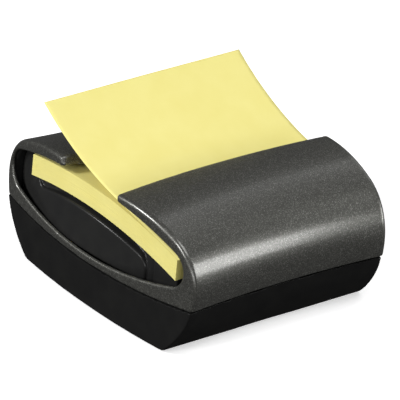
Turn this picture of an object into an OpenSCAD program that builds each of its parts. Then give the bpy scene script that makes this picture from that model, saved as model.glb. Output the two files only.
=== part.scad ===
// Desk dispenser for pop-up sticky notes, in millimetres.
// X runs across the notes, -Y is the broad rounded front, +Z is up.
// The origin is on the desk, in the middle of the base.

/* [Notes] */
// side of one square note
note_size = 76.2; // [70:0.1:80]
// thickness of the pad that is left
pad_thick = 7.2; // [4:0.1:8]
// radius of the pad's arched top face
pad_arch = 192; // [180:1:230]
// place of the pad's middle along the depth
pad_mid_y = -1.9; // [-3:0.1:-1]
// how far the pad leans down towards the front, in degrees
pad_lean = 2.73; // [2:0.01:3.2]
// how far the top of the pad lies below the cover's crest
pad_drop = 5.35; // [5.3:0.05:5.6]
// thickness of the raised note
paper_thick = 0.3; // [0.2:0.05:0.4]
// radius of the raised note's own curl
note_curl = 103; // [90:1:130]
// angle over which the raised note curls, in degrees
note_curl_angle = 23.2; // [18:0.1:26]
// angle at which the note leaves the pad under the front lobe, in degrees
note_lift = 11.5; // [11:0.1:12.5]
// length of note that runs straight from the pad to the lip
note_ramp = 25.3; // [22:0.1:28]

/* [Cover] */
// half of the width at the middle of the sides
side_half = 41.6; // [41:0.1:44]
// plan radius of the two bulging sides
side_bow = 286; // [240:1:340]
// front of the front lobe, from the middle
front_y = 46.2; // [45:0.1:48]
// back of the rear lobe, from the middle
rear_y = 47.3; // [46:0.1:49]
// plan radius of the hollow front
front_bow = 310; // [260:1:400]
// plan radius of the hollow back
rear_bow = 220; // [200:1:320]
// height of the lobes' crest above the desk
crest_z = 44.6; // [44:0.1:47]
// distance from a lobe's outer face back to its crest
crest_back = 32.2; // [31:0.1:33.5]
// radius of a lobe's top face
crest_radius = 60; // [57:0.5:66]
// height at which a lobe is deepest
widest_z = 24.8; // [23:0.1:26]
// radius of a lobe's lower face
lower_radius = 30; // [26:0.5:36]
// wall of the cover's lobes
cover_wall = 1.7; // [1.5:0.1:1.8]
// wall of the cover's ends
end_wall = 1.6; // [1.2:0.1:2.2]
// front edge of the slot, from the middle
slot_front = 9; // [8:0.1:10]
// rear edge of the slot at the top of the rear lip, from the middle
slot_rear = 14.4; // [13.5:0.1:15]
// how far the rear lip's turned-down face leans forward
ramp_length = 1.2; // [0.8:0.1:1.6]
// height of that leaning face
ramp_drop = 2.4; // [2:0.1:2.8]
// height of the upright edge below it
ramp_edge = 0.4; // [0.3:0.1:0.6]
// rounding of the rear lip's upper corner
ramp_round = 0.6; // [0.4:0.1:0.8]
// rounding of the front lip
lip_round = 1; // [0.5:0.1:1.2]

/* [Side windows] */
// lowest point of the window's rim
window_low = 17.8; // [17.4:0.1:18.6]
// radius of the window's upper edge under the front lobe
window_front_arc = 92; // [84:1:104]
// depth of that edge below the crest where it reaches the slot
window_front_drop = 2.65; // [2.5:0.05:2.9]
// radius of the window's upper edge under the rear lobe
window_rear_arc = 117; // [100:1:140]
// depth of that edge below the crest where it reaches the slot
window_rear_drop = 3.04; // [2.94:0.05:3.34]
// radius of the window's front end
window_front_radius = 6.2; // [5.8:0.1:6.4]
// centre of the window's front end along the depth
window_front_y = -36.5; // [-37:0.1:-36]
// centre of the window's front end above the desk
window_front_z = 29.8; // [29.5:0.1:30.2]
// radius of the window's rear end
window_rear_radius = 7; // [6.6:0.1:7.2]
// centre of the window's rear end along the depth
window_rear_y = 40.5; // [40:0.1:41]
// centre of the window's rear end above the desk
window_rear_z = 29; // [28.6:0.1:29.4]

/* [Base] */
// height of the seam at its lowest point
seam_z = 15.4; // [14.8:0.1:15.8]
// radius of the seam's dip as seen from the side
seam_radius = 435; // [400:5:520]
// place of the seam's lowest point along the depth
seam_low_y = 6; // [0:0.5:10]
// height of the dark groove at the seam
groove_height = 0.8; // [0.5:0.1:1.2]
// depth of the dark groove at the seam
groove_depth = 1; // [0.6:0.1:1.2]
// how far the base stands back from the cover
base_inset = 0.35; // [0.2:0.05:0.5]
// wall of the base
base_wall = 2.6; // [2.3:0.1:3]
// floor of the base above the grip sheet
floor_thick = 2; // [1.6:0.1:2.6]
// front edge of the base's underside, from the middle
foot_front = 35.4; // [34:0.1:37]
// rear edge of the base's underside, from the middle
foot_rear = 35.5; // [34:0.1:37]
// how far the cover's front and rear turn in between their widest line and the seam
seam_step = 0.95; // [0.8:0.05:1.1]
// extra depth of the base's hollow front and back, also at their lower edge
foot_bow = 0.3; // [0.2:0.05:0.4]
// radius of the base's front profile
base_front_radius = 39.4; // [38:0.1:44]
// radius of the base's rear profile
base_rear_radius = 33.5; // [32:0.1:38]
// how much deeper the rear overhang is than the front one
rear_overhang = 0.8; // [0:0.1:1.2]

/* [Inner tray] */
// distance from the tray's wall to the widest part of the bulging sides
tray_inset = 5.6; // [5.3:0.1:6.4]
// front of the tray, from the middle
tray_front = 37.5; // [36:0.1:38]
// rear of the tray, from the middle
tray_rear = 35.2; // [34:0.1:35.6]
// wall of the tray
tray_wall = 2; // [1.6:0.1:2.4]
// underside of the tray's skirt above the desk
tray_z = 16.9; // [16.8:0.1:17.6]
// clearance between tray and pad
pad_clear = 0.1; // [0.05:0.05:0.2]
// how far the side cheeks stand out from the tray
cheek_out = 3.5; // [2.8:0.1:3.6]
// plan radius of the cheeks' outer face
cheek_bow = 130; // [110:1:160]
// radius of the cheeks' upper ridge
cheek_ridge = 76.3; // [70:0.1:84]
// top of the cheeks' ridge
cheek_top = 30.65; // [30:0.05:30.9]
// place of the cheeks' middle along the depth
cheek_y = 7.9; // [6:0.1:9]
// front end of the cheeks
cheek_front = -21.6; // [-22.5:0.1:-20]
// rounding of the cheeks' front end
cheek_round = 3.2; // [2.5:0.1:4]
// gap between the pad's rear end and the stop behind it
stop_gap = 0.4; // [0.3:0.1:1]
// gap between that stop and the cover
stop_clear = 0.5; // [0.4:0.1:0.8]

/* [Weight, screws and grip] */
// depth of the ballast plate
ballast_depth = 54; // [48:0.5:58]
// thickness of the ballast plate
ballast_thick = 8; // [5:0.1:9]
// corner radius of the ballast plate
ballast_round = 4; // [2:0.5:6]
// gap between the ballast and the screw posts
ballast_gap = 0.8; // [0.5:0.1:1.5]
// gap between the ballast and the ribs that keep it in place
ballast_clear = 0.4; // [0.3:0.05:0.6]
// thickness of those ribs
rib_thick = 1.6; // [1.2:0.1:2]
// thickness of the grip sheet
grip_thick = 1.2; // [1:0.1:1.6]
// how far the grip sheet stands out below the base
grip_out = 0.4; // [0.3:0.05:0.5]
// margin between the grip sheet and the base's edge
grip_margin = 4; // [3:0.1:6]
// gap all round between the grip sheet and its recess
grip_clear = 0.3; // [0.2:0.05:0.5]
// distance of the screws from the outside of the tray's wall
screw_inset = 4; // [3.6:0.1:4.4]
// distance of the screws from the middle, along the depth
screw_y = 22; // [18:0.5:24]
// diameter of the screw shank, which its post grips
screw_d = 2.5; // [2.2:0.1:2.8]
// how much wider the holes in the base are than the shank
screw_clear = 0.8; // [0.5:0.1:1]
// diameter of the screw head
screw_head_d = 5.6; // [5:0.1:6]
// height of the screw head
screw_head_h = 1.2; // [1:0.1:1.4]
// how much wider the counterbores are than the screw heads
head_clear = 0.6; // [0.4:0.1:0.8]
// width of the hexagonal socket in the screw head, over its corners
socket_d = 2.2; // [1.8:0.1:2.3]
// depth of that socket
socket_depth = 0.7; // [0.5:0.1:0.8]
// length of the screw under its head
screw_length = 11; // [9:0.5:12]
// outer diameter of the screw posts
post_d = 6.4; // [6:0.1:7]

/* [Hidden] */
$fn = 96;
// fragments of the long plan and profile arcs
fine = 720;
// small overlap that makes crossing arcs meet cleanly
hair = 0.01;
// reach of the cutting shapes, well past every side of the part
reach = side_half + front_y;
// half of the angle through which a bowed wall is swept, well past the bulging sides
function sweep_half(bow) = ceil(asin((side_half + 8) / bow));

// half width of the tray
tray_half = side_half - tray_inset;
// half width over the cheeks
cheek_half = tray_half + cheek_out;
// distance of the screws from the middle, across
screw_x = tray_half - screw_inset;
// width of the ballast plate, between the screw posts
ballast_width = 2 * (screw_x - post_d / 2 - ballast_gap);
// underside of the base
base_z = grip_out;
// top of the grip sheet's recess
recess_z = grip_thick;
// top of the base's floor
floor_z = recess_z + floor_thick;
// radius of a lobe's shoulder, tangent to its top and its lowest face
drop = widest_z - (crest_z - crest_radius);
shoulder = (crest_radius * crest_radius - crest_back * crest_back - drop * drop)
         / (2 * (crest_radius - crest_back));
// direction from the crest's centre to the shoulder's centre
shoulder_angle = atan2(drop, crest_back - shoulder);
// centre of the seam's arc
seam_center_z = seam_z + seam_radius;
// window's long lower edge, an arc that is tangent to both round ends
rise_f = window_front_z - window_front_radius - window_low;
rise_r = window_rear_z - window_rear_radius - window_low;
low_a = rise_r - rise_f;
low_b = rise_r * window_front_y - rise_f * window_rear_y;
low_c = rise_r * pow(window_front_y, 2) - rise_f * pow(window_rear_y, 2)
      + rise_f * rise_r * (rise_f + 2 * window_front_radius - rise_r - 2 * window_rear_radius);
window_low_y = (low_b + sqrt(low_b * low_b - low_a * low_c)) / low_a;
window_low_radius = (pow(window_low_y - window_front_y, 2)
      + rise_f * (rise_f + 2 * window_front_radius)) / (2 * rise_f);
window_low_cz = window_low + window_low_radius;
// lower one of the two points at distances a from p and b from q
function meet(p, a, q, b) =
    let (d = q - p, l = norm(d), u = d / l, k = (a * a - b * b + l * l) / (2 * l))
    p + u * k + [u[1], -u[0]] * sqrt(a * a - k * k);
// angles of the pad
pad_bottom = pad_arch - pad_thick;
pad_mid_angle = -pad_lean;
pad_half_top = note_size / 2 / pad_arch * 180 / PI;
pad_half_bottom = note_size / 2 / pad_bottom * 180 / PI;
// centre of the pad's arch, found from the pad's middle
arch_y = pad_mid_y - (pad_arch - pad_thick / 2) * sin(pad_mid_angle);
arch_z = crest_z - pad_drop - pad_arch;
// points on an arc of the pad, as [Y, Z]
function on_arch(r, a) = [arch_y + r * sin(a), arch_z + r * cos(a)];
// height of the seam at a place along the depth
function seam_at(y) = seam_center_z
    - sqrt(seam_radius * seam_radius - (y - seam_low_y) * (y - seam_low_y));
// centre of an arc of radius |r| through p and q, on the left of p to q for r > 0
function arc_center(p, q, r) =
    let (m = (p + q) / 2, d = q - p, l = norm(d))
    m + [-d[1], d[0]] / l * sign(r) * sqrt(r * r - l * l / 4);
// half of the plan width of the sides at a place along the depth
function side_at(y, inset) = side_half - inset
    - (side_bow - sqrt(side_bow * side_bow - y * y));
// how far the top of the ramp lies below the crest
ramp_top = crest_radius - sqrt(pow(crest_radius, 2) - pow(rear_y - crest_back - slot_rear, 2));
// how far the window is cut into each end, to just inside the end wall at its rear
end_cut = side_half - side_at(window_rear_y + window_rear_radius, end_wall) + 3 * hair;
// setback of a hollow front or back at the corners
function sag(edge, bow) = bow - sqrt(bow * bow - pow(side_at(edge, 0), 2));
front_sag = sag(front_y, front_bow);
rear_sag = sag(rear_y, rear_bow);
// low and high end of the plain block that joins the lobes at their rails
rail_low = seam_z - 6;
rail_high = seam_z + 7;
// how far the space inside a lobe runs on past its lip
nose_over = 1;
// front of the stop behind the pad
stop_y = on_arch(pad_bottom, pad_mid_angle + pad_half_bottom)[0] + stop_gap;
// underside of that stop, clear of the base's upper edge
stop_z = seam_at(rear_y + rear_sag) + stop_clear;

// plan of the part with its two bulging sides
module side_prism(inset, z0, z1) {
    r = side_bow - inset;
    intersection() {
        translate([side_bow - side_half, 0, z0])
            cylinder(r = r, h = z1 - z0, $fn = fine);
        translate([side_half - side_bow, 0, z0])
            cylinder(r = r, h = z1 - z0, $fn = fine);
    }
}

// a YZ outline drawn as [Y, Z], run across the part along X
module across(half) {
    rotate([90, 0, 90])
        translate([0, 0, -half])
            linear_extrude(height = 2 * half)
                children();
}

// sweep of a YZ outline about the upright axis in front of the part
module bowed(edge, bow) {
    translate([0, -(edge + bow), 0])
        rotate([0, 0, 90 - sweep_half(bow)])
            rotate_extrude(angle = 2 * sweep_half(bow), $fn = fine)
                translate([edge + bow, 0])
                    children();
}

// solid outline of a lobe whose outer face is at -edge, stepped in by t
module lobe_outline(edge, nose, t) {
    cy = -edge + crest_back;
    cz = crest_z - crest_radius;
    sy = -edge + shoulder;
    ra = crest_radius - t;
    far = crest_radius + 5;
    union() {
        intersection() {
            translate([cy, cz])
                circle(r = ra, $fn = fine);
            polygon([
                [sy, widest_z],
                [sy - far * cos(shoulder_angle), widest_z + far * sin(shoulder_angle)],
                [nose, widest_z + far * sin(shoulder_angle)],
                [nose, widest_z]]);
        }
        translate([sy, widest_z])
            circle(r = shoulder - t + hair, $fn = 360);
        intersection() {
            translate([-edge + lower_radius, widest_z])
                circle(r = lower_radius - t, $fn = 360);
            translate([-edge - 1, rail_low])
                square([nose + edge + 1, widest_z - rail_low + hair]);
        }
        translate([sy - hair, rail_low])
            square([nose - sy + hair, widest_z - rail_low + hair]);
    }
}

// front lobe as a solid with its rounded lip, or the space inside it
module front_lobe(t) {
    bowed(front_y, front_bow)
        difference() {
            lobe_outline(front_y, -slot_front + (t > 0 ? nose_over : 0), t);
            if (t == 0)
                lip_corner();
        }
}

// tool that rounds the front lip's upper corner
module lip_corner() {
    top = crest_z - crest_radius
        + sqrt(pow(crest_radius, 2) - pow(front_y - crest_back - slot_front, 2));
    difference() {
        translate([-slot_front - lip_round, top - lip_round])
            square([lip_round + 1, lip_round + 1]);
        translate([-slot_front - lip_round, top - lip_round])
            circle(r = lip_round);
    }
}

// rear lobe as a solid with its turned-down lip, or the space inside it
module rear_lobe(t) {
    nose = -slot_rear + ramp_length;
    low = crest_z - ramp_top - ramp_drop - (t > 0 ? ramp_edge : 1);
    fall = atan(ramp_drop / ramp_length);
    top = [-slot_rear, crest_z - ramp_top] - t * [sin(fall), cos(fall)];
    end = top + (top[1] - low) / sin(fall) * [cos(fall), -sin(fall)];
    mirror([0, 1, 0])
        bowed(rear_y, rear_bow)
            difference() {
                lobe_outline(rear_y, nose + (t > 0 ? nose_over : 0), t);
                polygon([
                    top - 8 * [cos(fall), -sin(fall)],
                    end,
                    [nose + 2, end[1]],
                    [nose + 2, crest_z + 8]]);
                if (t == 0)
                    rear_corner(fall);
            }
}

// tool that rounds the rear lip's upper corner above its face that falls at an angle
module rear_corner(fall) {
    far = ramp_round + 1;
    translate([-slot_rear - ramp_round * tan(fall / 2), crest_z - ramp_top - ramp_round + 2 * hair])
        difference() {
            polygon([[0, 0], [0, far], [far, far], far * [sin(fall), cos(fall)]]);
            circle(r = ramp_round);
        }
}

// outline of the side window, without the slot above it
module window_outline() {
    front = [window_front_y, window_front_z];
    rear = [window_rear_y, window_rear_z];
    nf = -slot_front + 10 * hair;
    nr = slot_rear - ramp_length - 10 * hair;
    rf = window_front_arc;
    rr = window_rear_arc;
    cf = meet(front, rf - window_front_radius,
              [-slot_front - front_sag, crest_z - window_front_drop], rf);
    cr = meet([nr + rear_sag, crest_z - window_rear_drop], rr,
              rear, rr - window_rear_radius);
    union() {
        translate(front)
            circle(r = window_front_radius + hair);
        translate(rear)
            circle(r = window_rear_radius + hair);
        intersection() {
            translate([window_low_y, window_low_cz])
                circle(r = window_low_radius, $fn = fine);
            union() {
                intersection() {
                    translate(cf)
                        circle(r = rf, $fn = fine);
                    translate([window_front_y - 1.6, window_low - 1])
                        square([nf - window_front_y + 1.6, crest_z]);
                }
                intersection() {
                    translate(cr)
                        circle(r = rr, $fn = fine);
                    translate([nr, window_low - 1])
                        square([window_rear_y - nr + 2, crest_z]);
                }
                translate([nf - hair, window_low - 1])
                    square([nr - nf + 2 * hair, crest_z]);
            }
        }
    }
}

// everything above the seam, raised by lift
module above_seam(lift) {
    translate([-reach, seam_low_y, seam_center_z])
        rotate([0, 90, 0])
            cylinder(r = seam_radius - lift, h = 2 * reach, $fn = fine);
}

// form of the cover, or the space inside it stepped in by t and at its ends by e
module cover_form(t, e, low) {
    intersection() {
        side_prism(e, low, crest_z + 1);
        union() {
            front_lobe(t);
            rear_lobe(t);
            translate([-reach, -slot_front - 6, rail_low])
                cube([2 * reach, slot_front + slot_rear + rear_sag + 7, rail_high - rail_low + t]);
        }
    }
}

// cut through one end of the cover, shaped as the window
module end_window() {
    translate([side_half - end_cut, 0, 0])
        rotate([90, 0, 90])
            linear_extrude(height = end_cut + 10)
                window_outline();
}

// moulded cover: two lobes joined by the low rails of its open ends
module cover() {
    color([0.27, 0.27, 0.25])
        difference() {
            cover_form(0, 0, seam_z - 1);
            cover_form(cover_wall, end_wall, seam_z - 2);
            end_window();
            mirror([1, 0, 0])
                end_window();
            difference() {
                translate([1 - reach, -reach, 0])
                    cube([2 * reach - 2, 2 * reach, rail_high + 1]);
                above_seam(0);
            }
        }
}

// front side of the base in side view, open to the rear: corner profile less sag, in by t
module front_side(sag, t) {
    p = [-(front_y + front_sag - base_inset - seam_step - sag), seam_at(-front_y) - 1];
    c = arc_center([-foot_front, 0], p, -base_front_radius);
    intersection() {
        translate([-reach, 0])
            square([2 * reach, rail_high + 1]);
        union() {
            translate(c)
                circle(r = base_front_radius - t, $fn = fine);
            translate([c[0], -1])
                square([reach, rail_high + 3]);
        }
    }
}

// rear side of the base in side view, open to the front: corner profile less sag, in by t
module rear_side(sag, t) {
    p = [rear_y + rear_sag - base_inset - seam_step + rear_overhang - sag, seam_at(rear_y) - 1];
    c = arc_center([foot_rear, 0], p, base_rear_radius);
    intersection() {
        translate([-reach, 0])
            square([2 * reach, rail_high + 1]);
        union() {
            translate(c)
                circle(r = base_rear_radius - t, $fn = fine);
            translate([c[0] - reach, -1])
                square([reach, rail_high + 3]);
        }
    }
}

// outer form of the base, stepped in by t, up to the height z1
module base_form(t, z0, z1) {
    intersection() {
        side_prism(base_inset + t, z0, z1);
        across(reach)
            intersection() {
                front_side(0, t);
                rear_side(0, t);
            }
        bowed(front_y, front_bow)
            front_side(front_sag + foot_bow, t);
        mirror([0, 1, 0])
            bowed(rear_y, rear_bow)
                mirror([1, 0])
                    rear_side(rear_sag + foot_bow, t);
    }
}

// space inside the base above its floor
module base_space() {
    intersection() {
        side_prism(base_inset + base_wall, floor_z, rail_high);
        across(reach)
            intersection() {
                front_side(front_sag, base_wall);
                rear_side(rear_sag, base_wall);
            }
    }
}

// moulded housing that stands on the desk
module base() {
    color([0.07, 0.07, 0.07]) {
        difference() {
            base_form(0, base_z, seam_z + 6);
            above_seam(0);
            difference() {
                above_seam(-groove_height);
                base_form(groove_depth, 0, seam_z + 6);
            }
            base_space();
            grip_recess(0);
            for (sx = [-1, 1])
                for (sy = [-1, 1])
                    translate([sx * screw_x, sy * screw_y, 0]) {
                        cylinder(d = screw_d + screw_clear, h = floor_z + 1);
                        cylinder(d = screw_head_d + head_clear, h = recess_z + screw_head_h);
                    }
        }
        for (turn = [0, 180])
            rotate([0, 0, turn])
                ballast_rib();
    }
}

// rib on the base's floor that keeps the ballast from sliding
module ballast_rib() {
    w = ballast_width / 2 - ballast_round;
    translate([-w, ballast_depth / 2 + ballast_clear, floor_z - hair])
        cube([2 * w, rib_thick, ballast_thick / 2 + hair]);
}

// plan of the grip sheet, stepped in by t
module grip_recess(t) {
    intersection() {
        side_prism(base_inset + grip_margin + t, -1, recess_z);
        translate([-reach, -foot_front + grip_margin + t, -1])
            cube([2 * reach, foot_front + foot_rear - 2 * grip_margin - 2 * t, recess_z + 1]);
    }
}

// non-slip sheet in the underside
module grip_sheet() {
    color([0.12, 0.12, 0.12])
        intersection() {
            grip_recess(grip_clear);
            translate([-reach, -reach, 0])
                cube([2 * reach, 2 * reach, grip_thick]);
        }
}

// YZ outline of the tray under the pad, stepped in by t
module tray_outline(t) {
    intersection() {
        translate([arch_y, arch_z])
            circle(r = pad_bottom - pad_clear - t, $fn = fine);
        translate([-tray_front + t, tray_z - (t > 0 ? 1 : 0)])
            square([tray_front + tray_rear - 2 * t, crest_z - tray_z]);
    }
}

// lens-shaped cheek that fills the window below the pad
module cheek() {
    r = cheek_round;
    intersection() {
        translate([cheek_bow - cheek_half, cheek_y, tray_z])
            cylinder(r = cheek_bow, h = crest_z - tray_z, $fn = fine);
        translate([-reach, 0, 0])
            rotate([90, 0, 90])
                linear_extrude(height = reach - tray_half + tray_wall)
                    intersection() {
                        translate([cheek_y, cheek_top - cheek_ridge])
                            circle(r = cheek_ridge, $fn = fine);
                        union() {
                            // it starts a little inside the round corner, under the ridge
                            translate([cheek_front + 0.8 * r, tray_z])
                                square([tray_rear - cheek_front - 0.8 * r, cheek_top - tray_z + 1]);
                            translate([cheek_front, tray_z])
                                square([r + 1, cheek_end_z() - tray_z - r]);
                            translate([cheek_front + r, cheek_end_z() - r])
                                circle(r = r);
                        }
                    }
    }
}

// height of the cheeks' ridge at their rounded front end
function cheek_end_z() = cheek_top - cheek_ridge
    + sqrt(pow(cheek_ridge, 2) - pow(cheek_y - cheek_front - cheek_round, 2));

// form of the stop behind the pad, which closes the windows' rear ends, stepped in by t
module stop_form(t) {
    intersection() {
        translate([cheek_bow - cheek_half, cheek_y, stop_z - t])
            cylinder(r = cheek_bow - t, h = crest_z, $fn = fine);
        translate([cheek_half - cheek_bow, cheek_y, stop_z - t])
            cylinder(r = cheek_bow - t, h = crest_z, $fn = fine);
        mirror([0, 1, 0])
            bowed(rear_y, rear_bow)
                lobe_outline(rear_y, -slot_rear, cover_wall + stop_clear + t);
        across(reach)
            difference() {
                translate([tray_rear - tray_wall / 2 + 1.5 * t, stop_z - 2 * t - 1])
                    square([reach, crest_z]);
                difference() {
                    translate([0, stop_z - 2 * t - 2])
                        square([stop_y + t, crest_z]);
                    translate([arch_y, arch_z])
                        circle(r = pad_bottom - pad_clear - t, $fn = fine);
                }
            }
    }
}

// moulded tray that carries the pad on its arched top
module pad_tray() {
    color([0.1, 0.1, 0.1]) {
        difference() {
            union() {
                across(tray_half)
                    tray_outline(0);
                cheek();
                mirror([1, 0, 0])
                    cheek();
                stop_form(0);
            }
            across(tray_half - tray_wall)
                tray_outline(tray_wall);
            stop_form(tray_wall);
        }
        for (sx = [-1, 1])
            for (sy = [-1, 1])
                translate([sx * screw_x, sy * screw_y, floor_z])
                    difference() {
                        cylinder(d = post_d, h = tray_top(sy * screw_y) - floor_z);
                        translate([0, 0, -1])
                            cylinder(d = screw_d, h = screw_length + 1);
                    }
    }
}

// top of a screw post, a little way inside the tray's arch above it
function tray_top(y) = arch_z + tray_wall / 4
    + sqrt(pow(pad_bottom - pad_clear - tray_wall, 2) - pow(abs(y - arch_y) + post_d / 2, 2));

// steel plate that weighs the base down
module ballast() {
    w = ballast_width / 2 - ballast_round;
    d = ballast_depth / 2 - ballast_round;
    color([0.5, 0.5, 0.5])
        translate([0, 0, floor_z])
            linear_extrude(height = ballast_thick) {
                square([2 * w, 2 * d + 2 * ballast_round], center = true);
                square([2 * w + 2 * ballast_round, 2 * d], center = true);
                for (sx = [-1, 1])
                    for (sy = [-1, 1])
                        translate([sx * w, sy * d])
                            circle(r = ballast_round);
            }
}

// four screws that clamp the tray down on the base
module tray_screws() {
    color([0.6, 0.6, 0.6])
        for (sx = [-1, 1])
            for (sy = [-1, 1])
                translate([sx * screw_x, sy * screw_y, recess_z])
                    difference() {
                        union() {
                            cylinder(d = screw_head_d, h = screw_head_h);
                            cylinder(d = screw_d, h = screw_head_h + screw_length - 1);
                        }
                        translate([0, 0, -1])
                            cylinder(d = socket_d, h = socket_depth + 1, $fn = 6);
                    }
}

// pad of notes, arched over the tray, its sheets sheared by the bend
module note_pad() {
    a = pad_half_top;
    b = pad_half_bottom;
    m = pad_mid_angle;
    color([0.93, 0.88, 0.55])
        across(note_size / 2)
            intersection() {
                difference() {
                    translate([arch_y, arch_z])
                        circle(r = pad_arch, $fn = fine);
                    translate([arch_y, arch_z])
                        circle(r = pad_bottom, $fn = fine);
                }
                polygon([
                    past(on_arch(pad_bottom, m - b), on_arch(pad_arch, m - a), 2),
                    past(on_arch(pad_arch, m - a), on_arch(pad_bottom, m - b), 7),
                    past(on_arch(pad_arch, m + a), on_arch(pad_bottom, m + b), 7),
                    past(on_arch(pad_bottom, m + b), on_arch(pad_arch, m + a), 2)]);
            }
}

// point beyond q on the line from p to q
function past(q, p, by) = q + (q - p) / norm(q - p) * by;

// path of the raised note as [Y, Z, direction], from the curl's top down
lift_angle = -note_lift;
lift_r = pad_arch + pad_clear + paper_thick / 2;
lift_point = on_arch(lift_r, lift_angle);
ramp_end = lift_point + note_ramp * [cos(note_lift), sin(note_lift)];
curl_length = note_curl * note_curl_angle * PI / 180;
lie_length = note_size - note_ramp - curl_length;
lie_angle = lie_length / lift_r * 180 / PI;
lie_steps = 4;
curl_steps = 24;
note_path = concat(
    [for (i = [0 : lie_steps])
        let (a = lift_angle - lie_angle * (1 - i / lie_steps))
        concat(on_arch(lift_r, a), [-a])],
    [for (i = [0 : curl_steps])
        let (a = note_lift + note_curl_angle * i / curl_steps)
        concat(ramp_end + note_curl * [sin(a) - sin(note_lift), cos(note_lift) - cos(a)], [a])]);
// one side of the note, at half its thickness from the path
function note_side(s) = [for (p = note_path)
    [p[0] - s * paper_thick / 2 * sin(p[2]), p[1] + s * paper_thick / 2 * cos(p[2])]];

// top note, pulled up through the slot
module raised_note() {
    up = note_side(1);
    down = note_side(-1);
    color([0.98, 0.94, 0.6])
        across(note_size / 2)
            polygon(concat(down, [for (i = [len(up) - 1 : -1 : 0]) up[i]]));
}

cover();
base();
pad_tray();
ballast();
tray_screws();
grip_sheet();
note_pad();
raised_note();
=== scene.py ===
import math

import bpy
import numpy as np
from mathutils import Matrix, Vector


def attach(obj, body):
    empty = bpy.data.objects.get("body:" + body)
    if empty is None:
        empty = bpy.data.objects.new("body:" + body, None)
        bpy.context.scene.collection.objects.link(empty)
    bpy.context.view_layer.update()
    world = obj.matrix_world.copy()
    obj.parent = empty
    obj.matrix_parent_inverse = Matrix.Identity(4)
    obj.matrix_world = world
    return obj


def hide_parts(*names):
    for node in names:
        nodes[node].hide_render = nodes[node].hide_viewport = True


MM = 0.001

# All lengths up to the studio's are in millimetres.
# Cover
SIDE_HALF, SIDE_BOW = 41.6, 286.0
FRONT_Y, REAR_Y = 46.2, 47.3
FRONT_BOW, REAR_BOW = 310.0, 220.0
CREST_Z, CREST_BACK, CREST_RADIUS = 44.6, 32.2, 60.0
WIDEST_Z, LOWER_RADIUS = 24.8, 30.0
COVER_WALL, END_WALL = 1.7, 1.6
SLOT_FRONT, SLOT_REAR = 9.0, 14.4
RAMP_LENGTH, RAMP_DROP, RAMP_EDGE, RAMP_ROUND = 1.2, 2.4, 1.0, 0.6
LIP_ROUND, END_ROUND, RIM_ROUND, EDGE_ROUND = 1.0, 1.5, 1.0, 0.3
# the plain block of the end rails: its height over the seam, its reach into the front lobe and
# past the rear one; then how far the inside runs on through the slot's edges
RAIL_RISE, RAIL_REACH, RAIL_PAST, SLOT_PAST = 7, 6, 1, 1
# the depth under the outer form from which the inner faces are darkened as painted shade, and the
# width of its fading edge
SHADE_DEPTH, SHADE_FADE = 1.05, 0.3

# Side windows
WINDOW_LOW = 17.8
WINDOW_FRONT, WINDOW_FRONT_R = (-36.5, 29.8), 6.2
WINDOW_REAR, WINDOW_REAR_R = (40.5, 29.0), 7.0
FRONT_ARC, FRONT_DROP = 92.0, 2.65
REAR_ARC, REAR_DROP = 117.0, 3.04
# where the upper edge passes from its front arc to its rear one, the rear arc's step back from
# the lip, and the skin that the windows' cut goes through inside each end
ARC_CHANGE_Y, REAR_STEP, CUT_SKIN = 1.5, 0.1, 0.03

# Base
SEAM_Z, SEAM_RADIUS, SEAM_LOW_Y = 15.4, 435.0, 6.0
GROOVE_HEIGHT, GROOVE_DEPTH = 0.8, 1.0
BASE_INSET, BASE_WALL, SEAM_STEP = 0.35, 2.6, 0.95
FOOT_FRONT, FOOT_REAR = 35.4, 35.5
BASE_FRONT_R, BASE_REAR_R = 39.4, 33.5
REAR_OVERHANG, FOOT_BOW = 0.8, 0.3
BASE_Z, RECESS_Z, FLOOR_Z, GRIP_MARGIN = 0.4, 1.2, 3.2, 4.0
# rounding of the base's corners and of the groove, and how far under the seam its sides end
BASE_ROUND, GROOVE_ROUND, SIDE_UNDER = 0.5, 0.2, 1

# Tray, pad and notes
NOTE = 76.2
PAD_THICK, PAD_ARCH, PAD_MID_Y, PAD_LEAN = 7.2, 192.0, -1.9, 2.73
PAD_CLEAR, PAD_DROP = 0.1, 5.35
TRAY_HALF, TRAY_FRONT, TRAY_REAR, TRAY_WALL, TRAY_Z = 36.0, 37.5, 35.2, 2.0, 16.9
CHEEK_OUT, CHEEK_BOW, CHEEK_RIDGE, CHEEK_TOP, CHEEK_Y = 3.5, 130.0, 76.3, 30.65, 7.9
CHEEK_FRONT, CHEEK_ROUND = -21.6, 3.2
STOP_GAP, STOP_CLEAR = 0.4, 0.5
# rounding of the tray, of its bulges and of the corner between cheek and stop
TRAY_ROUND, BULGE_ROUND, STOP_FILLET = 0.5, 0.8, 4.0
# the carving in front of each cheek: its distance from the tray's front edge, its rear end, its
# depth from the side and the skin over it
CARVE_EDGE, CARVE_REAR_Y, CARVE_DEPTH, CARVE_SKIN = 1.2, 2, 1.4, 1.3
SCREW_X, SCREW_Y, SCREW_D, SCREW_CLEAR = 32.0, 22.0, 2.5, 0.8
HEAD_D, HEAD_H, HEAD_CLEAR = 5.6, 1.2, 0.6
BALLAST_WIDTH, BALLAST_DEPTH, BALLAST_THICK, BALLAST_ROUND = 56.0, 54.0, 8.0, 4.0
BALLAST_CLEAR, RIB_THICK = 0.4, 1.6
SCREW_LENGTH, POST_D = 11.0, 6.4
NOTE_LIFT, NOTE_RAMP, NOTE_CURL, CURL_ANGLE = 11.5, 25.3, 103.0, 23.2
NOTE_ABOVE, NOTE_THICK = 0.25, 0.14
# gap between the pad's bundles of sheets, and how far they stray from a flush edge
SHEET_GAP, SHEET_STRAY = 0.004, 0.02

# Steps along the raised note and the pad
LIE_STEPS, RAMP_STEPS, CURL_STEPS, NOTE_COLS = 24, 30, 60, 61
PAD_LAYERS, PAD_SEGMENTS = 36, 48

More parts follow.
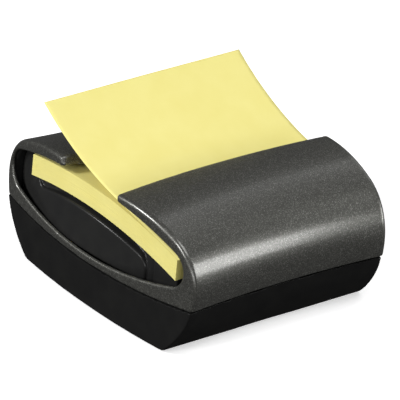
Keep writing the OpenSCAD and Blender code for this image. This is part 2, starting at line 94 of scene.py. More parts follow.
# Values that follow from those above
WIDEST_DROP = WIDEST_Z - (CREST_Z - CREST_RADIUS)
SHOULDER = ((CREST_RADIUS ** 2 - CREST_BACK ** 2 - WIDEST_DROP ** 2)
            / (2 * (CREST_RADIUS - CREST_BACK)))
SHOULDER_ANGLE = math.atan2(WIDEST_DROP, CREST_BACK - SHOULDER)
RAMP_TOP = CREST_Z - CREST_RADIUS + math.sqrt(
    CREST_RADIUS ** 2 - (REAR_Y - CREST_BACK - SLOT_REAR) ** 2)
SEAM_CENTER_Z = SEAM_Z + SEAM_RADIUS
RAIL_HIGH = SEAM_Z + RAIL_RISE
SIDE_AT = {y: SIDE_HALF - SIDE_BOW + math.sqrt(SIDE_BOW ** 2 - y ** 2)
           for y in (FRONT_Y, REAR_Y, WINDOW_REAR[0] + WINDOW_REAR_R)}
FRONT_SAG = FRONT_BOW - math.sqrt(FRONT_BOW ** 2 - SIDE_AT[FRONT_Y] ** 2)
REAR_SAG = REAR_BOW - math.sqrt(REAR_BOW ** 2 - SIDE_AT[REAR_Y] ** 2)
WINDOW_CUT = SIDE_AT[WINDOW_REAR[0] + WINDOW_REAR_R] - END_WALL - CUT_SKIN
CHEEK_HALF = TRAY_HALF + CHEEK_OUT
PAD_BOTTOM = PAD_ARCH - PAD_THICK
ARCH_Y = PAD_MID_Y + (PAD_ARCH - PAD_THICK / 2) * math.sin(math.radians(PAD_LEAN))
ARCH_Z = CREST_Z - PAD_DROP - PAD_ARCH
PAD_END = NOTE / 2 / PAD_BOTTOM - math.radians(PAD_LEAN)
STOP_Y = ARCH_Y + PAD_BOTTOM * math.sin(PAD_END) + STOP_GAP


# ---------- distance fields, negative inside ----------

def both(a, b, r=0.0):
    """What is inside a and b, with the edge between them rounded to radius r."""
    if r == 0:
        return np.maximum(a, b)
    corner = np.hypot(np.maximum(a + r, 0), np.maximum(b + r, 0))
    return np.minimum(np.maximum(a, b), -r) + corner


def either(a, b, r=0.0):
    """What is inside a or b, with the corner between them filled to radius r."""
    return -both(-a, -b, r)


def less(a, b, r=0.0):
    """What is inside a and outside b, with the edge between them rounded to radius r."""
    return both(a, -b, r)


def circle(u, v, cu, cv, r):
    return np.hypot(u - cu, v - cv) - r


def slab(u, low, high):
    return np.maximum(low - u, u - high)


def swept_front(p):
    """Depth of each point in the front lobe's profile, which is swept about an upright axis."""
    return np.hypot(p[0], p[1] + FRONT_Y + FRONT_BOW) - (FRONT_Y + FRONT_BOW)


def swept_rear(p):
    """Depth in the rear lobe's profile, counted towards the rear as negative."""
    return np.hypot(p[0], p[1] - REAR_Y - REAR_BOW) - (REAR_Y + REAR_BOW)


def sides(p):
    return np.hypot(np.abs(p[0]) + SIDE_BOW - SIDE_HALF, p[1]) - SIDE_BOW


def above_seam(p):
    return circle(p[1], p[2], SEAM_LOW_Y, SEAM_CENTER_Z, SEAM_RADIUS)


def seam_at(y):
    return SEAM_CENTER_Z - math.sqrt(SEAM_RADIUS ** 2 - (y - SEAM_LOW_Y) ** 2)


def lobe(y, z, edge):
    """A lobe's outline: three arcs that meet smoothly, its outer face at -edge."""
    low = circle(y, z, -edge + LOWER_RADIUS, WIDEST_Z, LOWER_RADIUS)
    nose = circle(y, z, -edge + SHOULDER, WIDEST_Z, SHOULDER)
    top = circle(y, z, -edge + CREST_BACK, CREST_Z - CREST_RADIUS, CREST_RADIUS)
    turn = np.arctan2(z - WIDEST_Z, -(y + edge - SHOULDER))
    return np.where(z < WIDEST_Z, low, np.where((turn >= 0) & (turn < SHOULDER_ANGLE), nose, top))


def behind_lip(y, z, t):
    """Behind the leaning face of the rear lip, stepped in by t."""
    fall = math.atan2(RAMP_DROP, RAMP_LENGTH)
    return (z - RAMP_TOP) * math.cos(fall) + (y + SLOT_REAR) * math.sin(fall) + t


def meet(p, a, q, b):
    """The lower one of the two points at distances a from p and b from q."""
    p, q = Vector(p), Vector(q)
    d = q - p
    u = d.normalized()
    k = (a * a - b * b + d.length_squared) / (2 * d.length)
    return p + u * k + Vector((u.y, -u.x)) * math.sqrt(a * a - k * k)


def window_arcs():
    """Centres of the window's three long arcs, and the radius of the lowest."""
    (fy, fz), a = WINDOW_FRONT, WINDOW_FRONT_R
    (ry, rz), b = WINDOW_REAR, WINDOW_REAR_R
    hf, hr = fz - a - WINDOW_LOW, rz - b - WINDOW_LOW
    qa, qb = hr - hf, hr * fy - hf * ry
    qc = hr * fy ** 2 - hf * ry ** 2 + hf * hr * (hf + 2 * a - hr - 2 * b)
    y = (qb + math.sqrt(qb * qb - qa * qc)) / qa
    low_r = ((y - fy) ** 2 + hf * (hf + 2 * a)) / (2 * hf)
    front_tip = (-SLOT_FRONT - FRONT_SAG, CREST_Z - FRONT_DROP)
    rear_tip = (SLOT_REAR - RAMP_LENGTH - REAR_STEP + REAR_SAG, CREST_Z - REAR_DROP)
    front = meet(WINDOW_FRONT, FRONT_ARC - a, front_tip, FRONT_ARC)
    rear = meet(rear_tip, REAR_ARC, WINDOW_REAR, REAR_ARC - b)
    return (y, WINDOW_LOW + low_r, low_r), (*front, FRONT_ARC), (*rear, REAR_ARC)


def window(y, z):
    """The eye-shaped opening of an end in side view."""
    low, front, rear = window_arcs()
    high = np.where(y < ARC_CHANGE_Y, circle(y, z, *front), circle(y, z, *rear))
    out = both(circle(y, z, *low), high)
    for centre, r, arc in ((WINDOW_FRONT, WINDOW_FRONT_R, front),
                           (WINDOW_REAR, WINDOW_REAR_R, rear)):
        # the round end holds between its two tangent points
        dy, dz = y - centre[0], z - centre[1]
        up = (centre[0] - arc[0], centre[1] - arc[1])
        down = (centre[0] - low[0], centre[1] - low[1])
        sign = math.copysign(1, centre[0])
        past_up = sign * (up[1] * dy - up[0] * dz) > 0
        past_down = sign * (down[0] * dz - down[1] * dy) > 0
        out = np.where(past_up & past_down, np.hypot(dy, dz) - r, out)
    return out


def rails(p, t):
    """The plain block between the lobes that the end rails are cut from, raised by t."""
    along = slab(p[1], -SLOT_FRONT - RAIL_REACH, SLOT_REAR + REAR_SAG + RAIL_PAST)
    return np.maximum(along, p[2] - RAIL_HIGH - t)


def cover_form(p):
    """The cover's outer form, without its inside and its windows."""
    z, yf, yr = p[2], swept_front(p), swept_rear(p)
    front = both(lobe(yf, z, FRONT_Y), yf + SLOT_FRONT, LIP_ROUND)
    rear = both(both(lobe(yr, z, REAR_Y), behind_lip(yr, z, 0), RAMP_ROUND),
                yr + SLOT_REAR - RAMP_LENGTH, RAMP_ROUND)
    outer = np.minimum(np.minimum(front, rear), rails(p, 0))
    return both(both(outer, sides(p), END_ROUND), above_seam(p), EDGE_ROUND)


def painted_inner_shade(p):
    """1 on the cover's inner faces, which get a near-black painted shade, and 0 outside."""
    return np.clip((-SHADE_DEPTH - cover_form(p)) / SHADE_FADE, 0, 1)


def cover_field(p):
    x, y, z = p
    yf, yr = swept_front(p), swept_rear(p)
    front_in = both(lobe(yf, z, FRONT_Y) + COVER_WALL, yf + SLOT_FRONT - SLOT_PAST)
    lip_low = z - (RAMP_TOP - RAMP_DROP - RAMP_EDGE)
    under_lip = np.minimum(behind_lip(yr, z, COVER_WALL), lip_low)
    rear_in = both(both(lobe(yr, z, REAR_Y) + COVER_WALL, under_lip),
                   yr + SLOT_REAR - RAMP_LENGTH - SLOT_PAST)
    inner = both(np.minimum(np.minimum(front_in, rear_in), rails(p, COVER_WALL)),
                 sides(p) + END_WALL)
    shell = less(cover_form(p), inner, EDGE_ROUND)
    return less(shell, np.maximum(window(y, z), WINDOW_CUT - np.abs(x)), RIM_ROUND)


def arc_center(p, q, r):
    """Centre of an arc of radius |r| through p and q, left of p to q where r is positive."""
    p, q = Vector(p), Vector(q)
    d = q - p
    side = Vector((-d.y, d.x)).normalized()
    return (p + q) / 2 + side * math.copysign(math.sqrt(r * r - d.length_squared / 4), r)


def front_side(y, z, sag, t):
    """Front side of the base in side view, open to the rear, stepped in by t."""
    p = (-(FRONT_Y + FRONT_SAG - BASE_INSET - SEAM_STEP - sag), seam_at(-FRONT_Y) - SIDE_UNDER)
    c = arc_center((-FOOT_FRONT, 0), p, -BASE_FRONT_R)
    return np.where(y < c.x, circle(y, z, c.x, c.y, BASE_FRONT_R), -BASE_FRONT_R) + t


def rear_side(y, z, sag, t):
    """Rear side of the base in side view, open to the front, stepped in by t."""
    p = (REAR_Y + REAR_SAG - BASE_INSET - SEAM_STEP + REAR_OVERHANG - sag,
         seam_at(REAR_Y) - SIDE_UNDER)
    c = arc_center((FOOT_REAR, 0), p, BASE_REAR_R)
    return np.where(y > c.x, circle(y, z, c.x, c.y, BASE_REAR_R), -BASE_REAR_R) + t


def base_form(p, t):
    """The base's outer form up to any height, stepped in by t."""
    yf, yr = swept_front(p), -swept_rear(p)
    ends = both(front_side(p[1], p[2], 0, t), rear_side(p[1], p[2], 0, t))
    bows = both(front_side(yf, p[2], FRONT_SAG + FOOT_BOW, t),
                rear_side(yr, p[2], REAR_SAG + FOOT_BOW, t))
    return both(sides(p) + BASE_INSET + t, both(ends, bows), BASE_ROUND)


def base_field(p):
    x, y, z = p
    form = both(both(base_form(p, 0), BASE_Z - z, BASE_ROUND), -above_seam(p), EDGE_ROUND)
    groove = both(above_seam(p) - GROOVE_HEIGHT, -base_form(p, GROOVE_DEPTH))
    space = both(both(front_side(y, z, FRONT_SAG, BASE_WALL),
                      rear_side(y, z, REAR_SAG, BASE_WALL)),
                 both(sides(p) + BASE_INSET + BASE_WALL, FLOOR_Z - z))
    grip = both(both(sides(p) + BASE_INSET + GRIP_MARGIN, z - RECESS_Z),
                slab(y, -FOOT_FRONT + GRIP_MARGIN, FOOT_REAR - GRIP_MARGIN))
    rib_y = BALLAST_DEPTH / 2 + BALLAST_CLEAR
    rib = both(both(np.abs(x) - BALLAST_WIDTH / 2 + BALLAST_ROUND,
                    z - FLOOR_Z - BALLAST_THICK / 2, EDGE_ROUND),
               slab(np.abs(y), rib_y, rib_y + RIB_THICK), EDGE_ROUND)
    space = less(space, rib)
    solid = less(less(less(form, groove, GROOVE_ROUND), space, EDGE_ROUND), grip)
    hole = np.hypot(np.abs(x) - SCREW_X, np.abs(y) - SCREW_Y)
    sink = both(hole - (HEAD_D + HEAD_CLEAR) / 2, z - RECESS_Z - HEAD_H)
    return less(solid, np.minimum(hole - (SCREW_D + SCREW_CLEAR) / 2, sink))


def stop_side(y, z, t):
    """Side view of the stop behind the pad, which closes the windows' rear ends, inset by t."""
    low = seam_at(REAR_Y + REAR_SAG) + STOP_CLEAR - 2 * t
    return both(TRAY_REAR - TRAY_WALL / 2 + 1.5 * t - y, low - z)


def cheek_side(y, z):
    """Side view of a cheek under the pad, with its round front end."""
    ridge = circle(y, z, CHEEK_Y, CHEEK_TOP - CHEEK_RIDGE, CHEEK_RIDGE)
    return both(both(ridge, CHEEK_FRONT - y, CHEEK_ROUND), both(TRAY_Z - z, y - TRAY_REAR))


def bulge(p, side, t, r):
    """A side view as a solid between the tray's bowed outer faces and the cover's rear lobe."""
    x, y, z = np.abs(p[0]), p[1], p[2]
    plan = circle(x, y, CHEEK_HALF - CHEEK_BOW, CHEEK_Y, CHEEK_BOW) + t
    rear = np.where(y > CHEEK_Y, lobe(swept_rear(p), z, REAR_Y), -CHEEK_BOW)
    back = rear + COVER_WALL + STOP_CLEAR + t
    room = both(y - STOP_Y - t, -circle(y, z, ARCH_Y, ARCH_Z, PAD_BOTTOM - PAD_CLEAR - t))
    return less(both(both(plan, side, r), back, r), room)


def tray_field(p):
    x, y, z = np.abs(p[0]), p[1], p[2]
    arch = circle(y, z, ARCH_Y, ARCH_Z, PAD_BOTTOM - PAD_CLEAR)
    box = both(slab(y, -TRAY_FRONT, TRAY_REAR), TRAY_Z - z)
    form = both(both(arch, box, TRAY_ROUND), x - TRAY_HALF, TRAY_ROUND)
    room = both(both(arch + TRAY_WALL, slab(y, -TRAY_FRONT + TRAY_WALL, TRAY_REAR - TRAY_WALL)),
                x - TRAY_HALF + TRAY_WALL)
    post = np.hypot(x - SCREW_X, np.abs(y) - SCREW_Y)
    posts = both(both(post - POST_D / 2, FLOOR_Z - z, EDGE_ROUND), arch + TRAY_WALL / 2)
    carving = both(both(slab(y, -TRAY_FRONT + CARVE_EDGE, CARVE_REAR_Y),
                        TRAY_HALF - CARVE_DEPTH - x, EDGE_ROUND), arch + CARVE_SKIN, EDGE_ROUND)
    form = less(form, carving, EDGE_ROUND)
    side = either(cheek_side(y, z), stop_side(y, z, 0), STOP_FILLET)
    form = either(form, bulge(p, side, 0, BULGE_ROUND), EDGE_ROUND)
    room = np.minimum(room, bulge(p, stop_side(y, z, TRAY_WALL), TRAY_WALL, 0))
    solid = np.minimum(less(form, room), posts)
    return less(solid, both(post - SCREW_D / 2, z - SCREW_LENGTH))


# ---------- meshes ----------

def surface(name, field, low, high, cell, mark=None):
    """Smooth quad mesh of field = 0 between the corners low and high, by surface nets.

    Where mark is given, each vertex keeps its value there as a float point attribute; the cover's
    mark is its painted inner shade.
    """
    # passes that draw the vertices onto the surface, the step of the slope's differences, how far
    # a vertex may go in cells, and the least squared slope
    passes, step, reach, least = 6, 0.02, 0.8, 0.2
    low, high = np.array(low, float), np.array(high, float)
    n = np.ceil((high - low) / cell).astype(int) + 1
    axes = [low[i] + cell * np.arange(n[i]) for i in range(3)]
    grid = np.meshgrid(*axes, indexing="ij")
    value = field(grid)
    c = n - 1
    corner = [(i, j, k) for i in (0, 1) for j in (0, 1) for k in (0, 1)]
    at = {q: value[q[0]:q[0] + c[0], q[1]:q[1] + c[1], q[2]:q[2] + c[2]] for q in corner}
    inside = sum((at[q] < 0).astype(np.int8) for q in corner)
    active = (inside > 0) & (inside < 8)
    cells = np.argwhere(active)
    number = np.full(c, -1)
    number[active] = np.arange(len(cells))
    total, hits = np.zeros((len(cells), 3)), np.zeros(len(cells))
    for a in corner:
        for axis in range(3):
            if a[axis]:
                continue
            b = tuple(1 if i == axis else v for i, v in enumerate(a))
            va, vb = at[a][active], at[b][active]
            cross = (va < 0) != (vb < 0)
            share = np.where(cross, va / np.where(cross, va - vb, 1), 0)
            spot = np.array(a, float) + share[:, None] * (np.array(b) - np.array(a))
            total += np.where(cross[:, None], spot, 0)
            hits += cross
    points = low + (cells + total / hits[:, None]) * cell
    start = points.copy()

    def slope(q):
        out = []
        for axis in range(3):
            d = np.zeros(3)
            d[axis] = step
            out.append((field((q + d).T) - field((q - d).T)) / (2 * step))
        return np.stack(out, -1)

    for _ in range(passes):
        g = slope(points)
        move = (field(points.T) / np.maximum((g ** 2).sum(-1), least))[:, None] * g
        points -= np.clip(move, -cell / 2, cell / 2)
        points = np.clip(points, start - reach * cell, start + reach * cell)
    faces = []
    for axis in range(3):
        u, v = [i for i in range(3) if i != axis]
        here, there = [slice(None)] * 3, [slice(None)] * 3
        here[axis], there[axis] = slice(0, n[axis] - 1), slice(1, n[axis])
        sign = (value[tuple(here)] < 0).astype(np.int8) - (value[tuple(there)] < 0).astype(np.int8)
        e = np.argwhere(sign != 0)
        e = e[(e[:, u] > 0) & (e[:, v] > 0) & (e[:, u] < c[u]) & (e[:, v] < c[v])]
        flip = sign[tuple(e.T)] < 0
        if axis == 1:
            flip = ~flip
        ring = []
        for du, dv in ((1, 1), (0, 1), (0, 0), (1, 0)):
            q = e.copy()
            q[:, u] -= du
            q[:, v] -= dv
            ring.append(number[tuple(q.T)])
        quad = np.stack(ring, -1)
        quad[flip] = quad[flip][:, ::-1]
        faces.append(quad)
    faces = np.concatenate(faces)
    mesh = bpy.data.meshes.new(name)
    mesh.from_pydata((points * MM).tolist(), [], faces.tolist())
    mesh.update()
    mesh.shade_smooth()
    if mark:
        inner_shade = mesh.attributes.new("inner_shade", "FLOAT", "POINT")
        inner_shade.data.foreach_set("value", mark(points.T).astype(np.float32))
    g = slope(points)
    mesh.normals_split_custom_set_from_vertices((g / np.linalg.norm(g, axis=1)[:, None]).tolist())
    return piece(name, mesh)


def piece(name, mesh):
    obj = bpy.data.objects.new(name, mesh)
    bpy.context.scene.collection.objects.link(obj)
    return obj


def on_arch(r, a):
    """The point at radius r and angle a on the arch that the pad lies on, as (y, z)."""
    return Vector((ARCH_Y + r * math.sin(a), ARCH_Z + r * math.cos(a)))


def strip(rows, cols, point):
    """Vertices and faces of a closed thin sheet: point(i, j, side) gives its two skins."""
    verts, faces = [], []
    for side in (0, 1):
        verts += [point(i, j, side) for i in range(rows) for j in range(cols)]
    size = rows * cols

    def at(i, j, side):
        return side * size + i * cols + j

    for i in range(rows - 1):
        for j in range(cols - 1):
            faces.append((at(i, j, 0), at(i + 1, j, 0), at(i + 1, j + 1, 0), at(i, j + 1, 0)))
            faces.append((at(i, j + 1, 1), at(i + 1, j + 1, 1), at(i + 1, j, 1), at(i, j, 1)))
    for i in range(rows - 1):
        for j, k in ((0, 1), (cols - 1, 0)):
            a, b = (i, i + 1) if k else (i + 1, i)
            faces.append((at(a, j, 1), at(b, j, 1), at(b, j, 0), at(a, j, 0)))
    for j in range(cols - 1):
        for i, k in ((0, 1), (rows - 1, 0)):
            a, b = (j + 1, j) if k else (j, j + 1)
            faces.append((at(i, a, 1), at(i, b, 1), at(i, b, 0), at(i, a, 0)))
    return verts, faces


def note_path():
    """Middle line of the raised note as (y, z, direction), from the flap to the top."""
    r = PAD_ARCH + NOTE_ABOVE
    lift = math.radians(NOTE_LIFT)
    curl = math.radians(CURL_ANGLE)
    start = on_arch(r, -lift)
    ramp_end = start + NOTE_RAMP * Vector((math.cos(lift), math.sin(lift)))
    lie = (NOTE - NOTE_RAMP - NOTE_CURL * curl) / r
    out = []
    for i in range(LIE_STEPS + 1):
        a = -lift - lie * (1 - i / LIE_STEPS)
        out.append((*on_arch(r, a), -a))
    for i in range(1, RAMP_STEPS):
        out.append((*(start + (ramp_end - start) * i / RAMP_STEPS), lift))
    for i in range(CURL_STEPS + 1):
        a = lift + curl * i / CURL_STEPS
        turn = Vector((math.sin(a) - math.sin(lift), math.cos(lift) - math.cos(a)))
        out.append((*(ramp_end + NOTE_CURL * turn), a))
    return out


def raised_note():
    """The top note, whose free end is a little wavy."""
    path = note_path()
    last = len(path) - 1

    def point(i, j, side):
        y, z, a = path[i]
        x = -NOTE / 2 + NOTE * j / (NOTE_COLS - 1)
        free = max(0.0, i / last - 0.6) / 0.4
        wave = 0.12 * free * math.sin(2.4 * x / NOTE + 0.7) + 0.08 * free * math.cos(7 * x / NOTE)
        s = (side - 0.5) * NOTE_THICK + wave
        return (x * MM, (y - s * math.sin(a)) * MM, (z + s * math.cos(a)) * MM)

    verts, faces = strip(len(path), NOTE_COLS, point)
    mesh = bpy.data.meshes.new("raised_sheet")
    mesh.from_pydata(verts, [], faces)
    mesh.update()
    mesh.shade_smooth()
    return piece("raised_sheet", mesh)


def pad():
    """The pad as bundles of sheets whose edges aren't quite flush."""
    rng = np.random.default_rng(7)
    verts, faces = [], []
    lean = math.radians(PAD_LEAN)
    for k in range(PAD_LAYERS):
        r0 = PAD_BOTTOM + PAD_THICK * k / PAD_LAYERS + SHEET_GAP
        r1 = PAD_BOTTOM + PAD_THICK * (k + 1) / PAD_LAYERS - SHEET_GAP
        dx, ds = rng.normal(0, SHEET_STRAY, 2)
        half_angle = (NOTE / 2) / (PAD_BOTTOM + PAD_THICK * (k + 0.5) / PAD_LAYERS)

        def point(i, j, side):
            a = -lean + half_angle * (2 * i / PAD_SEGMENTS - 1) + ds / PAD_ARCH
            q = on_arch(r1 if side else r0, a)
            return ((-NOTE / 2 + NOTE * j + dx) * MM, q.x * MM, q.y * MM)

        v, f = strip(PAD_SEGMENTS + 1, 2, point)
        faces += [tuple(n + len(verts) for n in q) for q in f]
        verts += v
    mesh = bpy.data.meshes.new("pad_sheets")
    mesh.from_pydata(verts, [], faces)
    mesh.update()
    return piece("pad_sheets", mesh)


# ---------- materials ----------

class Shader:
    """A material under construction: add() makes a node and links its inputs."""

    def __init__(self, name):
        self.material = bpy.data.materials.new(name)
        self.material.use_nodes = True
        self.tree = self.material.node_tree
        self.main = self.tree.nodes["Principled BSDF"]
        self.place = self.add("ShaderNodeTexCoord").outputs["Object"]

    def add(self, kind, sockets=None, **settings):
        node = self.tree.nodes.new(kind)
        for key, value in settings.items():
            setattr(node, key, value)
        for key, value in (sockets or {}).items():
            self.put(node, key, value)
        return node

    def put(self, node, key, value):
        if isinstance(value, bpy.types.NodeSocket):
            self.tree.links.new(value, node.inputs[key])
        else:
            node.inputs[key].default_value = value

    def set(self, **sockets):
        for key, value in sockets.items():
            self.put(self.main, key.replace("_", " "), value)

    def noise(self, scale, detail=3.0, rough=0.5, vector=None):
        sockets = {"Vector": vector or self.place, "Scale": scale, "Detail": detail,
                   "Roughness": rough}
        return self.add("ShaderNodeTexNoise", sockets).outputs["Fac"]

    def span(self, value, low, high, to_low, to_high):
        sockets = {"Value": value, "From Min": low, "From Max": high,
                   "To Min": to_low, "To Max": to_high}
        return self.add("ShaderNodeMapRange", sockets).outputs["Result"]

    def combine(self, operation, a, b):
        return self.add("ShaderNodeMath", {0: a, 1: b}, operation=operation).outputs[0]

    def combine_vectors(self, operation, a, b):
        return self.add("ShaderNodeVectorMath", {0: a, 1: b}, operation=operation).outputs[0]

    def blend(self, fac, a, b):
        node = self.add("ShaderNodeMix", data_type="RGBA")
        self.put(node, 0, fac)
        self.put(node, 6, a)
        self.put(node, 7, b)
        return node.outputs[2]

    def bump(self, height, strength, distance, normal=None):
        sockets = {"Height": height, "Strength": strength, "Distance": distance}
        if normal is not None:
            sockets["Normal"] = normal
        return self.add("ShaderNodeBump", sockets).outputs["Normal"]


def flake_paint():
    """Dark warm grey paint with fine metallic flakes and a clear skin; the inner faces near-black
    as painted shade.
    """
    s = Shader("flake_paint")
    cells = s.add("ShaderNodeTexVoronoi", {"Vector": s.place, "Scale": 5200.0, "Randomness": 1.0})
    pick = s.add("ShaderNodeSeparateColor", {"Color": cells.outputs["Color"]})
    flake = s.span(pick.outputs[0], 0.75, 1.0, 0.0, 1.0)
    mottle = s.span(s.noise(1500.0, 4.0, 0.7), 0.3, 0.7, 0.0, 1.0)
    ground = s.blend(mottle, (0.066, 0.066, 0.059, 1), (0.112, 0.112, 0.101, 1))
    colour = s.blend(flake, ground, (0.26, 0.26, 0.24, 1))
    rough = s.span(s.noise(90.0, 2.0), 0.2, 0.8, 0.34, 0.42)
    bump = s.bump(pick.outputs[1], 0.05, 0.00003)
    bump = s.bump(s.noise(900.0, 2.0), 0.08, 0.00005, bump)
    # the inner faces turn near-black, hardly metallic and lightly coated: painted shade inside the
    # shell
    inner_shade = s.add("ShaderNodeAttribute", attribute_name="inner_shade").outputs["Fac"]
    s.set(Base_Color=s.blend(inner_shade, colour, (0.012, 0.012, 0.012, 1)), Roughness=rough, Normal=bump,
          Metallic=s.span(inner_shade, 0.0, 1.0, 0.65, 0.0), Coat_Weight=s.span(inner_shade, 0.0, 1.0, 0.8, 0.1),
          Coat_Roughness=0.18)
    return s.material


def satin_black(name, coat, tone, fine=1400.0):
    """Moulded black plastic with a fine spark-eroded texture."""
    s = Shader(name)
    grain = s.noise(fine, 3.0, 0.6)
    colour = s.blend(s.span(s.noise(160.0, 3.0), 0.3, 0.7, 0.0, 1.0),
                     (0.88 * tone, 0.88 * tone, 0.88 * tone, 1),
                     (1.12 * tone, 1.12 * tone, 1.08 * tone, 1))
    rough = s.span(grain, 0.25, 0.75, 0.28, 0.42)
    s.set(Base_Color=colour, Roughness=rough, Specular_IOR_Level=0.0, Coat_Weight=coat,
          Coat_Roughness=0.28, Normal=s.bump(grain, 0.12, 0.00004))
    return s.material


def paper(name, stacked=False):
    """Pale yellow uncoated paper; a stack shows the edges of its sheets."""
    s = Shader(name)
    fibre = s.noise(2600.0, 5.0, 0.65)
    cloud = s.noise(110.0, 3.0)
    colour = s.blend(s.span(cloud, 0.3, 0.7, 0.0, 1.0), (0.860, 0.775, 0.265, 1),
                     (0.880, 0.800, 0.290, 1))
    height = fibre
    if stacked:
        # noise that is fine across the sheets, along the arch's radius, and long within a sheet
        xyz = s.add("ShaderNodeSeparateXYZ", {"Vector": s.place})
        y = s.combine("SUBTRACT", xyz.outputs[1], ARCH_Y * MM)
        z = s.combine("SUBTRACT", xyz.outputs[2], ARCH_Z * MM)
        flat = s.add("ShaderNodeCombineXYZ", {"X": y, "Y": z})
        radius = s.add("ShaderNodeVectorMath", {0: flat.outputs[0]},
                       operation="LENGTH").outputs["Value"]
        along = s.combine_vectors("MULTIPLY", s.place, (25.0, 25.0, 0.0))
        lift = s.add("ShaderNodeCombineXYZ", {"Z": s.combine("MULTIPLY", radius, 5200.0)})
        where = s.combine_vectors("ADD", along, lift.outputs[0])
        sheets = s.noise(1.0, 2.0, 0.6, where)
        colour = s.blend(s.span(sheets, 0.35, 0.65, 0.0, 0.12), colour, (0.74, 0.65, 0.20, 1))
        height = sheets
    s.set(Base_Color=colour, Roughness=0.82, Specular_IOR_Level=0.25,
          Normal=s.bump(height, 0.25 if stacked else 0.15, 0.00003))
    return s.material


def metal(name, colour, rough, stretch):
    """Bare metal whose grain is stretched along the axis with the smallest factor."""
    s = Shader(name)
    lines = s.noise(1.0, 4.0, 0.6, s.combine_vectors("MULTIPLY", s.place, stretch))
    tint = s.blend(lines, colour, tuple(min(1.0, c * 1.35) for c in colour[:3]) + (1,))
    s.set(Base_Color=tint, Metallic=1.0, Roughness=s.span(lines, 0.3, 0.7, rough, rough + 0.15),
          Normal=s.bump(lines, 0.15, 0.00005))
    return s.material


def rubber():
    """Dull black rubber with fine dimples."""
    s = Shader("grip_rubber")
    dots = s.add("ShaderNodeTexVoronoi", {"Vector": s.place, "Scale": 900.0, "Randomness": 0.2})
    colour = s.blend(s.noise(300.0), (0.012, 0.012, 0.012, 1), (0.022, 0.022, 0.021, 1))
    s.set(Base_Color=colour, Roughness=0.85, Normal=s.bump(dots.outputs["Distance"], 0.5, 0.0001))
    return s.material


def table_top():
    """Matt white table that glows a little, so that it stays pale up to the horizon."""
    s = Shader("table_top")
    colour = s.blend(s.noise(3.0), (0.93, 0.93, 0.93, 1), (0.95, 0.95, 0.95, 1))
    s.set(Base_Color=colour, Roughness=0.55, Specular_IOR_Level=0.3,
          Emission_Color=(1, 1, 1, 1), Emission_Strength=0.52)
    return s.material


def dress(obj, material, node=None):
    """Give a piece its finish; with a node's name it is a new piece that stands for that node."""
    obj.data.materials.clear()
    obj.data.materials.append(material)
    if node:
        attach(obj, "root")
        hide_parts(node)


# ---------- scene ----------

AZIMUTH, ELEVATION, ROLL = 38.66, 26.64, 3.72
CAMERA_DISTANCE, FOCAL_PX, FRAME_PX = 1907.0, 6040.0, 400
TARGET = Vector((9.42, 10.54, 19.83))

# name, azimuth, elevation, distance and size in metres, power in watts
SOFTBOXES = (
    ("right_box", 48, 13, 1.1, (0.62, 0.38), 5.5),
    ("side_box", 105, 38, 1.2, (0.7, 0.5), 1.2),
    ("fill_box", -35, 4, 1.1, (0.8, 0.3), 2.8),
    ("left_box", -82, 22, 1.1, (0.28, 0.25), 4.5),
    ("edge_box", -120, 33, 1.1, (0.24, 0.2), 6.5),
    ("key_box", 5, 64, 1.2, (0.8, 0.6), 5.9),
)
AIM_HEIGHT, TABLE_HALF, WORLD_LIGHT = 0.02, 4.0, 0.07


def camera():
    a, e, r = (math.radians(v) for v in (AZIMUTH, ELEVATION, ROLL))
    back = Vector((-math.sin(a) * math.cos(e), -math.cos(a) * math.cos(e), math.sin(e)))
    right = Vector((math.cos(a), -math.sin(a), 0))
    up = back.cross(right)
    right, up = math.cos(r) * right + math.sin(r) * up, math.cos(r) * up - math.sin(r) * right
    data = bpy.data.cameras.new("camera")
    data.sensor_width = 36.0
    data.lens = FOCAL_PX / FRAME_PX * data.sensor_width
    data.clip_start, data.clip_end = 0.1, 20.0
    obj = bpy.data.objects.new("camera", data)
    obj.matrix_world = Matrix.Translation((TARGET + CAMERA_DISTANCE * back) * MM) @ Matrix(
        (right, up, back)).transposed().to_4x4()
    bpy.context.scene.collection.objects.link(obj)
    bpy.context.scene.camera = obj


def softbox(name, azimuth, elevation, distance, size, power):
    """A rectangular area light that faces the part; azimuth 0 is the front, 90 the right."""
    a, e = math.radians(azimuth), math.radians(elevation)
    back = Vector((math.sin(a) * math.cos(e), -math.cos(a) * math.cos(e), math.sin(e)))
    data = bpy.data.lights.new(name, "AREA")
    data.shape = "RECTANGLE"
    data.size, data.size_y = size
    data.energy = power
    obj = bpy.data.objects.new(name, data)
    obj.location = Vector((0, 0, AIM_HEIGHT)) + back * distance
    obj.rotation_euler = back.to_track_quat("Z", "Y").to_euler()
    bpy.context.scene.collection.objects.link(obj)


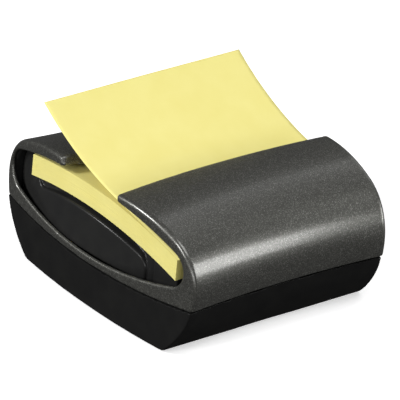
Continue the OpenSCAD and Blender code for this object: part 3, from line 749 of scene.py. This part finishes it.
def studio():
    scene = bpy.context.scene
    scene.view_settings.view_transform = "Standard"
    world = bpy.data.worlds.new("studio")
    scene.world = world
    world.use_nodes = True
    background = world.node_tree.nodes["Background"].inputs
    background["Color"].default_value = (1, 1, 1, 1)
    background["Strength"].default_value = WORLD_LIGHT
    for box in SOFTBOXES:
        softbox(*box)
    mesh = bpy.data.meshes.new("table")
    h = TABLE_HALF
    mesh.from_pydata([(-h, -h, 0), (h, -h, 0), (h, h, 0), (-h, h, 0)], [], [(0, 1, 2, 3)])
    table = piece("table", mesh)
    table.data.materials.append(table_top())
    table.visible_diffuse = table.visible_glossy = False


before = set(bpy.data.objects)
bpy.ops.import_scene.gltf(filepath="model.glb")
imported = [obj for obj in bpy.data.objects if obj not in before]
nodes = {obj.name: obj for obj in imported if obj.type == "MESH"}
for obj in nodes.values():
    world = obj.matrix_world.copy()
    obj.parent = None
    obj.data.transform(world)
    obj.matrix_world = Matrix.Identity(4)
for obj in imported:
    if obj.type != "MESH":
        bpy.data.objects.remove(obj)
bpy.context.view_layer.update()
QUICK_CELL, FULL_CELL = 0.9, 0.55
cell = FULL_CELL

camera()
studio()
# the cover's mesh carries the mark of its inner faces, which get painted shade
dress(surface("cover_shell", cover_field, (-42.6, -49.6, 14.4), (42.6, 51.6, 45.4), cell,
              painted_inner_shade), flake_paint(), "cover")
dress(surface("base_shell", base_field, (-42.3, -48.6, -0.5), (42.3, 50.6, 19.6), cell),
      satin_black("base_plastic", 0.10, 0.014), "base")
dress(surface("tray_shell", tray_field, (-40.3, -38.4, 2.6), (40.3, 49.6, 40.4), cell),
      satin_black("tray_plastic", 0.6, 0.020, 1900.0), "pad_tray")
dress(pad(), paper("pad_paper", stacked=True), "note_pad")
dress(raised_note(), paper("note_paper"), "raised_note")

# these three keep their solids
dress(nodes["ballast"], metal("ballast_iron", (0.09, 0.09, 0.09, 1), 0.5, (300, 300, 300)))
dress(nodes["tray_screws"], metal("screw_zinc", (0.55, 0.55, 0.56, 1), 0.3, (2500, 2500, 200)))
dress(nodes["grip_sheet"], rubber())
